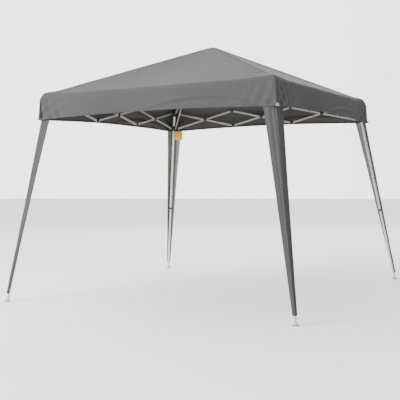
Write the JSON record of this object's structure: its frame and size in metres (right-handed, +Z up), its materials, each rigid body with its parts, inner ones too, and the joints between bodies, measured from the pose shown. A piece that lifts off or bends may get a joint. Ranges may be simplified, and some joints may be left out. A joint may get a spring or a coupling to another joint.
{
  "type": "pop-up gazebo",
  "caption": "Square slant-leg folding gazebo: scissor frame with sliding leg brackets, hip rafters and struts under a pyramid fabric roof with leg covers.",
  "frame": {"origin": "on the ground, at the middle of the four feet", "axes": "+Z up; +X to the right and +Y to the back of the tent, along its sides"},
  "size_m": [3.056, 3.056, 2.546],
  "materials": {
    "white_tube": "satin",
    "black_moulding": "matte",
    "roof_fabric": "matte",
    "leg_fabric": "matte",
    "eyelet_metal": "satin",
    "catch_steel": "satin"
  },
  "bodies": {
    "hub": {"peak_hub": "black_moulding"},
    "inner_rafter_front_left": {"inner_rafter_front_left": "white_tube"},
    "outer_rafter_front_left": {"outer_rafter_front_left": "white_tube"},
    "leg_front_left": {"upper_leg_front_left": "white_tube", "top_bracket_front_left": "black_moulding"},
    "strut_front_left": {"strut_front_left": "white_tube"},
    "slider_front_left": {"slider_front_left": "black_moulding"},
    "lower_leg_front_left": {"lower_leg_front_left": "white_tube"},
    "leg_button_front_left": {"leg_button_front_left": "catch_steel"},
    "inner_rafter_front_right": {"inner_rafter_front_right": "white_tube"},
    "outer_rafter_front_right": {"outer_rafter_front_right": "white_tube"},
    "leg_front_right": {"upper_leg_front_right": "white_tube", "top_bracket_front_right": "black_moulding"},
    "strut_front_right": {"strut_front_right": "white_tube"},
    "slider_front_right": {"slider_front_right": "black_moulding"},
    "lower_leg_front_right": {"lower_leg_front_right": "white_tube"},
    "leg_button_front_right": {"leg_button_front_right": "catch_steel"},
    "inner_rafter_back_right": {"inner_rafter_back_right": "white_tube"},
    "outer_rafter_back_right": {"outer_rafter_back_right": "white_tube"},
    "leg_back_right": {"upper_leg_back_right": "white_tube", "top_bracket_back_right": "black_moulding"},
    "strut_back_right": {"strut_back_right": "white_tube"},
    "slider_back_right": {"slider_back_right": "black_moulding"},
    "lower_leg_back_right": {"lower_leg_back_right": "white_tube"},
    "leg_button_back_right": {"leg_button_back_right": "catch_steel"},
    "inner_rafter_back_left": {"inner_rafter_back_left": "white_tube"},
    "outer_rafter_back_left": {"outer_rafter_back_left": "white_tube"},
    "leg_back_left": {"upper_leg_back_left": "white_tube", "top_bracket_back_left": "black_moulding"},
    "strut_back_left": {"strut_back_left": "white_tube"},
    "slider_back_left": {"slider_back_left": "black_moulding"},
    "lower_leg_back_left": {"lower_leg_back_left": "white_tube"},
    "leg_button_back_left": {"leg_button_back_left": "catch_steel"},
    "front_bar_1_falling": {"front_bar_1_falling": "white_tube"},
    "front_bar_1_rising": {"front_bar_1_rising": "white_tube"},
    "front_bar_2_falling": {"front_bar_2_falling": "white_tube"},
    "front_bar_2_rising": {"front_bar_2_rising": "white_tube"},
    "front_bar_3_falling": {"front_bar_3_falling": "white_tube"},
    "front_bar_3_rising": {"front_bar_3_rising": "white_tube"},
    "right_bar_1_falling": {"right_bar_1_falling": "white_tube"},
    "right_bar_1_rising": {"right_bar_1_rising": "white_tube"},
    "right_bar_2_falling": {"right_bar_2_falling": "white_tube"},
    "right_bar_2_rising": {"right_bar_2_rising": "white_tube"},
    "right_bar_3_falling": {"right_bar_3_falling": "white_tube"},
    "right_bar_3_rising": {"right_bar_3_rising": "white_tube"},
    "back_bar_1_falling": {"back_bar_1_falling": "white_tube"},
    "back_bar_1_rising": {"back_bar_1_rising": "white_tube"},
    "back_bar_2_falling": {"back_bar_2_falling": "white_tube"},
    "back_bar_2_rising": {"back_bar_2_rising": "white_tube"},
    "back_bar_3_falling": {"back_bar_3_falling": "white_tube"},
    "back_bar_3_rising": {"back_bar_3_rising": "white_tube"},
    "left_bar_1_falling": {"left_bar_1_falling": "white_tube"},
    "left_bar_1_rising": {"left_bar_1_rising": "white_tube"},
    "left_bar_2_falling": {"left_bar_2_falling": "white_tube"},
    "left_bar_2_rising": {"left_bar_2_rising": "white_tube"},
    "left_bar_3_falling": {"left_bar_3_falling": "white_tube"},
    "left_bar_3_rising": {"left_bar_3_rising": "white_tube"},
    "cover": {"roof_cover": "roof_fabric", "leg_covers": "leg_fabric", "corner_eyelets": "eyelet_metal"}
  },
  "joints": [
    {"name": "frame_fold", "type": "hinge", "parent": "hub", "child": "inner_rafter_front_left", "pos_m": [-0.03535, -0.03535, 2.496], "axis": [0.7071, -0.7071, 0], "range_deg": [0, 69.32]},
    {"name": "elbow_front_left", "type": "hinge", "parent": "inner_rafter_front_left", "child": "outer_rafter_front_left", "pos_m": [-0.63025, -0.63025, 2.2278], "axis": [-0.7071, 0.7071, 0], "range_deg": [0, 173.01]},
    {"name": "leg_tilt_front_left", "type": "hinge", "parent": "outer_rafter_front_left", "child": "leg_front_left", "pos_m": [-1.15574, -1.15574, 1.9909], "axis": [0.7071, -0.7071, 0], "range_deg": [0, 116.04]},
    {"name": "strut_turn_front_left", "type": "hinge", "parent": "outer_rafter_front_left", "child": "strut_front_left", "pos_m": [-0.92318, -0.92318, 2.09574], "axis": [0.7071, -0.7071, 0], "range_deg": [0, 152.24]},
    {"name": "rafter_fold_front_right", "type": "hinge", "parent": "hub", "child": "inner_rafter_front_right", "pos_m": [0.03535, -0.03535, 2.496], "axis": [0.7071, 0.7071, 0], "range_deg": [0, 69.33]},
    {"name": "elbow_front_right", "type": "hinge", "parent": "inner_rafter_front_right", "child": "outer_rafter_front_right", "pos_m": [0.63025, -0.63025, 2.2278], "axis": [-0.7071, -0.7071, 0], "range_deg": [0, 173.01]},
    {"name": "leg_tilt_front_right", "type": "hinge", "parent": "outer_rafter_front_right", "child": "leg_front_right", "pos_m": [1.15574, -1.15574, 1.9909], "axis": [0.7071, 0.7071, 0], "range_deg": [0, 116.04]},
    {"name": "strut_turn_front_right", "type": "hinge", "parent": "outer_rafter_front_right", "child": "strut_front_right", "pos_m": [0.92318, -0.92318, 2.09574], "axis": [0.7071, 0.7071, 0], "range_deg": [0, 152.24]},
    {"name": "rafter_fold_back_right", "type": "hinge", "parent": "hub", "child": "inner_rafter_back_right", "pos_m": [0.03535, 0.03535, 2.496], "axis": [-0.7071, 0.7071, 0], "range_deg": [0, 69.33]},
    {"name": "elbow_back_right", "type": "hinge", "parent": "inner_rafter_back_right", "child": "outer_rafter_back_right", "pos_m": [0.63025, 0.63025, 2.2278], "axis": [0.7071, -0.7071, 0], "range_deg": [0, 173.01]},
    {"name": "leg_tilt_back_right", "type": "hinge", "parent": "outer_rafter_back_right", "child": "leg_back_right", "pos_m": [1.15574, 1.15574, 1.9909], "axis": [-0.7071, 0.7071, 0], "range_deg": [0, 116.04]},
    {"name": "strut_turn_back_right", "type": "hinge", "parent": "outer_rafter_back_right", "child": "strut_back_right", "pos_m": [0.92318, 0.92318, 2.09574], "axis": [-0.7071, 0.7071, 0], "range_deg": [0, 152.24]},
    {"name": "rafter_fold_back_left", "type": "hinge", "parent": "hub", "child": "inner_rafter_back_left", "pos_m": [-0.03535, 0.03535, 2.496], "axis": [-0.7071, -0.7071, 0], "range_deg": [0, 69.33]},
    {"name": "elbow_back_left", "type": "hinge", "parent": "inner_rafter_back_left", "child": "outer_rafter_back_left", "pos_m": [-0.63025, 0.63025, 2.2278], "axis": [0.7071, 0.7071, 0], "range_deg": [0, 173.01]},
    {"name": "leg_tilt_back_left", "type": "hinge", "parent": "outer_rafter_back_left", "child": "leg_back_left", "pos_m": [-1.15574, 1.15574, 1.9909], "axis": [-0.7071, -0.7071, 0], "range_deg": [0, 116.04]},
    {"name": "strut_turn_back_left", "type": "hinge", "parent": "outer_rafter_back_left", "child": "strut_back_left", "pos_m": [-0.92318, 0.92318, 2.09574], "axis": [-0.7071, -0.7071, 0], "range_deg": [0, 152.24]},
    {"name": "slider_travel_front_left", "type": "slide", "parent": "leg_front_left", "child": "slider_front_left", "axis": [-0.1512, -0.1512, -0.9769], "range_m": [0, 0.62266]},
    {"name": "slider_travel_front_right", "type": "slide", "parent": "leg_front_right", "child": "slider_front_right", "axis": [0.1512, -0.1512, -0.9769], "range_m": [0, 0.62266]},
    {"name": "slider_travel_back_right", "type": "slide", "parent": "leg_back_right", "child": "slider_back_right", "axis": [0.1512, 0.1512, -0.9769], "range_m": [0, 0.62266]},
    {"name": "slider_travel_back_left", "type": "slide", "parent": "leg_back_left", "child": "slider_back_left", "axis": [-0.1512, 0.1512, -0.9769], "range_m": [0, 0.62266]},
    {"name": "leg_extension_front_left", "type": "slide", "parent": "leg_front_left", "child": "lower_leg_front_left", "axis": [0.1512, 0.1512, 0.9769], "range_m": [0, 0.72], "deforming": ["leg_button_front_left", "leg_covers"]},
    {"name": "button_press_front_left", "type": "slide", "parent": "lower_leg_front_left", "child": "leg_button_front_left", "axis": [-0.6908, -0.6908, 0.2138], "range_m": [0, 0.0045], "stiffness_N_per_m": 1500, "springref_m": -0.002},
    {"name": "leg_extension_front_right", "type": "slide", "parent": "leg_front_right", "child": "lower_leg_front_right", "axis": [-0.1512, 0.1512, 0.9769], "range_m": [0, 0.72], "deforming": ["leg_button_front_right"]},
    {"name": "button_press_front_right", "type": "slide", "parent": "lower_leg_front_right", "child": "leg_button_front_right", "axis": [0.6908, -0.6908, 0.2138], "range_m": [0, 0.0045], "stiffness_N_per_m": 1500, "springref_m": -0.002},
    {"name": "leg_extension_back_right", "type": "slide", "parent": "leg_back_right", "child": "lower_leg_back_right", "axis": [-0.1512, -0.1512, 0.9769], "range_m": [0, 0.72], "deforming": ["leg_button_back_right"]},
    {"name": "button_press_back_right", "type": "slide", "parent": "lower_leg_back_right", "child": "leg_button_back_right", "axis": [0.6908, 0.6908, 0.2138], "range_m": [0, 0.0045], "stiffness_N_per_m": 1500, "springref_m": -0.002},
    {"name": "leg_extension_back_left", "type": "slide", "parent": "leg_back_left", "child": "lower_leg_back_left", "axis": [0.1512, -0.1512, 0.9769], "range_m": [0, 0.72], "deforming": ["leg_button_back_left"]},
    {"name": "button_press_back_left", "type": "slide", "parent": "lower_leg_back_left", "child": "leg_button_back_left", "axis": [-0.6908, 0.6908, 0.2138], "range_m": [0, 0.0045], "stiffness_N_per_m": 1500, "springref_m": -0.002},
    {"name": "front_end_pivot", "type": "hinge", "parent": "leg_front_left", "child": "front_bar_1_falling", "pos_m": [-1.14358, -1.19416, 1.97653], "axis": [-0.0047, 0.9894, -0.1454], "range_deg": [0, 81.08]},
    {"name": "front_cross_pivot_1", "type": "hinge", "parent": "front_bar_1_falling", "child": "front_bar_1_rising", "pos_m": [-0.76238, -1.21271, 1.88934], "axis": [0, -0.9882, 0.1529], "range_deg": [0, 144.75]},
    {"name": "front_top_pivot_1", "type": "hinge", "parent": "front_bar_1_rising", "child": "front_bar_2_falling", "pos_m": [-0.38119, -1.1991, 1.9773], "axis": [0, 0.9882, -0.1529], "range_deg": [0, 144.75]},
    {"name": "front_cross_pivot_2", "type": "hinge", "parent": "front_bar_2_falling", "child": "front_bar_2_rising", "pos_m": [0, -1.21271, 1.88934], "axis": [0, -0.9882, 0.1529], "range_deg": [0, 144.75]},
    {"name": "front_top_pivot_2", "type": "hinge", "parent": "front_bar_2_rising", "child": "front_bar_3_falling", "pos_m": [0.38119, -1.1991, 1.9773], "axis": [0, 0.9882, -0.1529], "range_deg": [0, 144.75]},
    {"name": "front_cross_pivot_3", "type": "hinge", "parent": "front_bar_3_falling", "child": "front_bar_3_rising", "pos_m": [0.76238, -1.21271, 1.88934], "axis": [0, -0.9882, 0.1529], "range_deg": [0, 144.75]},
    {"name": "right_end_pivot", "type": "hinge", "parent": "leg_front_right", "child": "right_bar_1_falling", "pos_m": [1.19416, -1.14358, 1.97653], "axis": [-0.9894, -0.0047, -0.1454], "range_deg": [0, 81.08]},
    {"name": "right_cross_pivot_1", "type": "hinge", "parent": "right_bar_1_falling", "child": "right_bar_1_rising", "pos_m": [1.21271, -0.76238, 1.88934], "axis": [0.9882, 0, 0.1529], "range_deg": [0, 144.75]},
    {"name": "right_top_pivot_1", "type": "hinge", "parent": "right_bar_1_rising", "child": "right_bar_2_falling", "pos_m": [1.1991, -0.38119, 1.9773], "axis": [-0.9882, 0, -0.1529], "range_deg": [0, 144.75]},
    {"name": "right_cross_pivot_2", "type": "hinge", "parent": "right_bar_2_falling", "child": "right_bar_2_rising", "pos_m": [1.21271, 0, 1.88934], "axis": [0.9882, 0, 0.1529], "range_deg": [0, 144.75]},
    {"name": "right_top_pivot_2", "type": "hinge", "parent": "right_bar_2_rising", "child": "right_bar_3_falling", "pos_m": [1.1991, 0.38119, 1.9773], "axis": [-0.9882, 0, -0.1529], "range_deg": [0, 144.75]},
    {"name": "right_cross_pivot_3", "type": "hinge", "parent": "right_bar_3_falling", "child": "right_bar_3_rising", "pos_m": [1.21271, 0.76238, 1.88934], "axis": [0.9882, 0, 0.1529], "range_deg": [0, 144.75]},
    {"name": "back_end_pivot", "type": "hinge", "parent": "leg_back_right", "child": "back_bar_1_falling", "pos_m": [1.14358, 1.19416, 1.97653], "axis": [0.0047, -0.9894, -0.1454], "range_deg": [0, 81.08]},
    {"name": "back_cross_pivot_1", "type": "hinge", "parent": "back_bar_1_falling", "child": "back_bar_1_rising", "pos_m": [0.76238, 1.21271, 1.88934], "axis": [0, 0.9882, 0.1529], "range_deg": [0, 144.75]},
    {"name": "back_top_pivot_1", "type": "hinge", "parent": "back_bar_1_rising", "child": "back_bar_2_falling", "pos_m": [0.38119, 1.1991, 1.9773], "axis": [0, -0.9882, -0.1529], "range_deg": [0, 144.75]},
    {"name": "back_cross_pivot_2", "type": "hinge", "parent": "back_bar_2_falling", "child": "back_bar_2_rising", "pos_m": [0, 1.21271, 1.88934], "axis": [0, 0.9882, 0.1529], "range_deg": [0, 144.75]},
    {"name": "back_top_pivot_2", "type": "hinge", "parent": "back_bar_2_rising", "child": "back_bar_3_falling", "pos_m": [-0.38119, 1.1991, 1.9773], "axis": [0, -0.9882, -0.1529], "range_deg": [0, 144.75]},
    {"name": "back_cross_pivot_3", "type": "hinge", "parent": "back_bar_3_falling", "child": "back_bar_3_rising", "pos_m": [-0.76238, 1.21271, 1.88934], "axis": [0, 0.9882, 0.1529], "range_deg": [0, 144.75]},
    {"name": "left_end_pivot", "type": "hinge", "parent": "leg_back_left", "child": "left_bar_1_falling", "pos_m": [-1.19416, 1.14358, 1.97653], "axis": [0.9894, 0.0047, -0.1454], "range_deg": [0, 81.08]},
    {"name": "left_cross_pivot_1", "type": "hinge", "parent": "left_bar_1_falling", "child": "left_bar_1_rising", "pos_m": [-1.21271, 0.76238, 1.88934], "axis": [-0.9882, 0, 0.1529], "range_deg": [0, 144.75]},
    {"name": "left_top_pivot_1", "type": "hinge", "parent": "left_bar_1_rising", "child": "left_bar_2_falling", "pos_m": [-1.1991, 0.38119, 1.9773], "axis": [0.9882, 0, -0.1529], "range_deg": [0, 144.75]},
    {"name": "left_cross_pivot_2", "type": "hinge", "parent": "left_bar_2_falling", "child": "left_bar_2_rising", "pos_m": [-1.21271, 0, 1.88934], "axis": [-0.9882, 0, 0.1529], "range_deg": [0, 144.75]},
    {"name": "left_top_pivot_2", "type": "hinge", "parent": "left_bar_2_rising", "child": "left_bar_3_falling", "pos_m": [-1.1991, -0.38119, 1.9773], "axis": [0.9882, 0, -0.1529], "range_deg": [0, 144.75]},
    {"name": "left_cross_pivot_3", "type": "hinge", "parent": "left_bar_3_falling", "child": "left_bar_3_rising", "pos_m": [-1.21271, -0.76238, 1.88934], "axis": [-0.9882, 0, 0.1529], "range_deg": [0, 144.75]},
    {"name": "cover_lift", "type": "slide", "parent": "hub", "child": "cover", "axis": [0, 0, 1], "range_m": [0, 2.60001]}
  ],
  "couplings": [
    {"joint": "elbow_front_left", "follows": "frame_fold", "ratio": 2.4957},
    {"joint": "leg_tilt_front_left", "follows": "frame_fold", "ratio": 1.6738},
    {"joint": "strut_turn_front_left", "follows": "frame_fold", "ratio": 2.1962},
    {"joint": "rafter_fold_front_right", "follows": "frame_fold", "ratio": 1},
    {"joint": "elbow_front_right", "follows": "frame_fold", "ratio": 2.4957},
    {"joint": "leg_tilt_front_right", "follows": "frame_fold", "ratio": 1.6738},
    {"joint": "strut_turn_front_right", "follows": "frame_fold", "ratio": 2.1962},
    {"joint": "rafter_fold_back_right", "follows": "frame_fold", "ratio": 1},
    {"joint": "elbow_back_right", "follows": "frame_fold", "ratio": 2.4957},
    {"joint": "leg_tilt_back_right", "follows": "frame_fold", "ratio": 1.6738},
    {"joint": "strut_turn_back_right", "follows": "frame_fold", "ratio": 2.1962},
    {"joint": "rafter_fold_back_left", "follows": "frame_fold", "ratio": 1},
    {"joint": "elbow_back_left", "follows": "frame_fold", "ratio": 2.4957},
    {"joint": "leg_tilt_back_left", "follows": "frame_fold", "ratio": 1.6738},
    {"joint": "strut_turn_back_left", "follows": "frame_fold", "ratio": 2.1962},
    {"joint": "slider_travel_front_left", "follows": "frame_fold", "m_per_rad": 0.51466},
    {"joint": "slider_travel_front_right", "follows": "frame_fold", "m_per_rad": 0.51466},
    {"joint": "slider_travel_back_right", "follows": "frame_fold", "m_per_rad": 0.51466},
    {"joint": "slider_travel_back_left", "follows": "frame_fold", "m_per_rad": 0.51466},
    {"joint": "front_end_pivot", "follows": "frame_fold", "ratio": 1.1695},
    {"joint": "front_cross_pivot_1", "follows": "frame_fold", "ratio": 2.0881},
    {"joint": "front_top_pivot_1", "follows": "frame_fold", "ratio": 2.0881},
    {"joint": "front_cross_pivot_2", "follows": "frame_fold", "ratio": 2.0881},
    {"joint": "front_top_pivot_2", "follows": "frame_fold", "ratio": 2.0881},
    {"joint": "front_cross_pivot_3", "follows": "frame_fold", "ratio": 2.0881},
    {"joint": "right_end_pivot", "follows": "frame_fold", "ratio": 1.1695},
    {"joint": "right_cross_pivot_1", "follows": "frame_fold", "ratio": 2.0881},
    {"joint": "right_top_pivot_1", "follows": "frame_fold", "ratio": 2.0881},
    {"joint": "right_cross_pivot_2", "follows": "frame_fold", "ratio": 2.0881},
    {"joint": "right_top_pivot_2", "follows": "frame_fold", "ratio": 2.0881},
    {"joint": "right_cross_pivot_3", "follows": "frame_fold", "ratio": 2.0881},
    {"joint": "back_end_pivot", "follows": "frame_fold", "ratio": 1.1695},
    {"joint": "back_cross_pivot_1", "follows": "frame_fold", "ratio": 2.0881},
    {"joint": "back_top_pivot_1", "follows": "frame_fold", "ratio": 2.0881},
    {"joint": "back_cross_pivot_2", "follows": "frame_fold", "ratio": 2.0881},
    {"joint": "back_top_pivot_2", "follows": "frame_fold", "ratio": 2.0881},
    {"joint": "back_cross_pivot_3", "follows": "frame_fold", "ratio": 2.0881},
    {"joint": "left_end_pivot", "follows": "frame_fold", "ratio": 1.1695},
    {"joint": "left_cross_pivot_1", "follows": "frame_fold", "ratio": 2.0881},
    {"joint": "left_top_pivot_1", "follows": "frame_fold", "ratio": 2.0881},
    {"joint": "left_cross_pivot_2", "follows": "frame_fold", "ratio": 2.0881},
    {"joint": "left_top_pivot_2", "follows": "frame_fold", "ratio": 2.0881},
    {"joint": "left_cross_pivot_3", "follows": "frame_fold", "ratio": 2.0881},
    {"joint": "cover_lift", "follows": "frame_fold", "m_per_rad": 2.1491}
  ]
}
